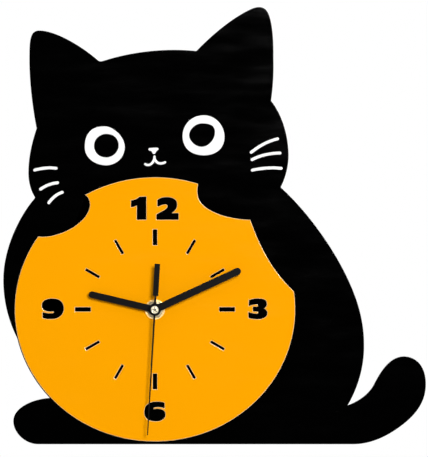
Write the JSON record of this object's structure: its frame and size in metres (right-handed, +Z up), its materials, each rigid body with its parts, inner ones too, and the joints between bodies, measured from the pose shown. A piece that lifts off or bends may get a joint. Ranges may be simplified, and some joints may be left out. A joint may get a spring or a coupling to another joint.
{
  "type": "cat-shaped wall clock",
  "caption": "Wall clock of layered acrylic in the shape of a sitting cat that holds an oval dial with cut-out numerals, with battery quartz movement, hands and a keyhole hanger.",
  "frame": {"origin": "on the axis of the hands, in the plane of the wall, which is the back of the movement's case", "axes": "+X to the viewer's right, +Z up, +Y from the room into the wall, so the dial faces -Y"},
  "size_m": [0.2961, 0.0333, 0.3063],
  "materials": {
    "black_acrylic": "polished cast acrylic sheet with laser-cut edges",
    "yellow_acrylic": "polished yellow-orange acrylic sheet with pale laser-cut edges",
    "white_acrylic": "polished white acrylic sheet",
    "hand_black": "satin black paint on aluminium sheet",
    "bright_metal": "turned and nickel-plated",
    "nut_nickel": "nickel-plated, satin",
    "brass": "turned brass",
    "rubber": "matt black rubber",
    "zinc_steel": "bright zinc-plated sheet steel",
    "case_plastic": "fine-textured black moulded plastic",
    "knob_plastic": "grey moulded plastic with a knurled rim",
    "bridge_plastic": "pale grey moulded plastic",
    "gear_plastic": "natural acetal",
    "pivot_steel": "ground steel wire",
    "magnet": "sintered magnet",
    "core_iron": "annealed soft iron sheet",
    "copper_wire": "fine enamelled copper wire in tight turns",
    "circuit_board": "green solder mask with tracks and pads",
    "chip_resin": "black potting resin",
    "crystal_can": "drawn metal can",
    "contact_nickel": "nickel-plated spring steel strip",
    "cell_steel": "nickel-plated steel can",
    "cell_sleeve": "printed shrink sleeve in two plain colours"
  },
  "bodies": {
    "clock": {"cat_back_plate": "black_acrylic", "dial_plate": "yellow_acrylic", "left_eye_ring": "white_acrylic", "right_eye_ring": "white_acrylic", "nose": "white_acrylic", "mouth": "white_acrylic", "left_upper_whisker": "white_acrylic", "left_middle_whisker": "white_acrylic", "left_lower_whisker": "white_acrylic", "right_upper_whisker": "white_acrylic", "right_middle_whisker": "white_acrylic", "right_lower_whisker": "white_acrylic", "hex_nut": "nut_nickel", "brass_washer": "brass", "rubber_washer": "rubber", "wall_hanger": "zinc_steel", "threaded_bush": "brass", "front_case": "case_plastic", "rear_case": "case_plastic", "middle_plate": "bridge_plastic", "stator": "core_iron", "coil_core": "core_iron", "coil_bobbin": "bridge_plastic", "coil_winding": "copper_wire", "circuit_board": "circuit_board", "chip_cover": "chip_resin", "quartz_crystal": "crystal_can", "positive_contact": "contact_nickel", "negative_contact": "contact_nickel", "battery_can": "cell_steel", "battery_sleeve": "cell_sleeve"},
    "hour": {"hour_hand": "hand_black", "hour_wheel": "gear_plastic"},
    "minute": {"minute_hand": "hand_black", "minute_wheel": "gear_plastic", "minute_tube": "brass"},
    "second": {"second_hand": "hand_black", "second_hand_hub": "bright_metal", "second_wheel": "gear_plastic", "second_arbor": "pivot_steel"},
    "motion": {"motion_wheel": "gear_plastic", "setting_knob": "knob_plastic"},
    "third": {"third_wheel": "gear_plastic"},
    "intermediate": {"intermediate_wheel": "gear_plastic"},
    "rotor": {"rotor_pinion": "gear_plastic", "rotor_magnet": "magnet"}
  },
  "joints": [
    {"name": "second_spin", "type": "hinge", "parent": "clock", "child": "second", "pos_m": [0, 0, 0], "axis": [0, 1, 0], "continuous": true},
    {"name": "rotor_spin", "type": "hinge", "parent": "clock", "child": "rotor", "pos_m": [-0.01537, 0, 0.00411], "axis": [0, 1, 0], "continuous": true},
    {"name": "intermediate_spin", "type": "hinge", "parent": "clock", "child": "intermediate", "pos_m": [-0.00744, 0, 0.00271], "axis": [0, 1, 0], "continuous": true},
    {"name": "third_spin", "type": "hinge", "parent": "clock", "child": "third", "pos_m": [0.0045, 0, 0.00779], "axis": [0, 1, 0], "continuous": true},
    {"name": "minute_spin", "type": "hinge", "parent": "clock", "child": "minute", "pos_m": [0, 0, 0], "axis": [0, 1, 0], "continuous": true},
    {"name": "motion_spin", "type": "hinge", "parent": "clock", "child": "motion", "pos_m": [0.00883, 0, -0.00321], "axis": [0, 1, 0], "continuous": true},
    {"name": "hour_spin", "type": "hinge", "parent": "clock", "child": "hour", "pos_m": [0, 0, 0], "axis": [0, 1, 0], "continuous": true}
  ],
  "couplings": [
    {"joint": "rotor_spin", "follows": "second_spin", "ratio": 30},
    {"joint": "intermediate_spin", "follows": "second_spin", "ratio": -5},
    {"joint": "third_spin", "follows": "second_spin", "ratio": -0.13333},
    {"joint": "minute_spin", "follows": "second_spin", "ratio": 0.016667},
    {"joint": "motion_spin", "follows": "second_spin", "ratio": -0.0055556},
    {"joint": "hour_spin", "follows": "second_spin", "ratio": 0.0013889}
  ]
}
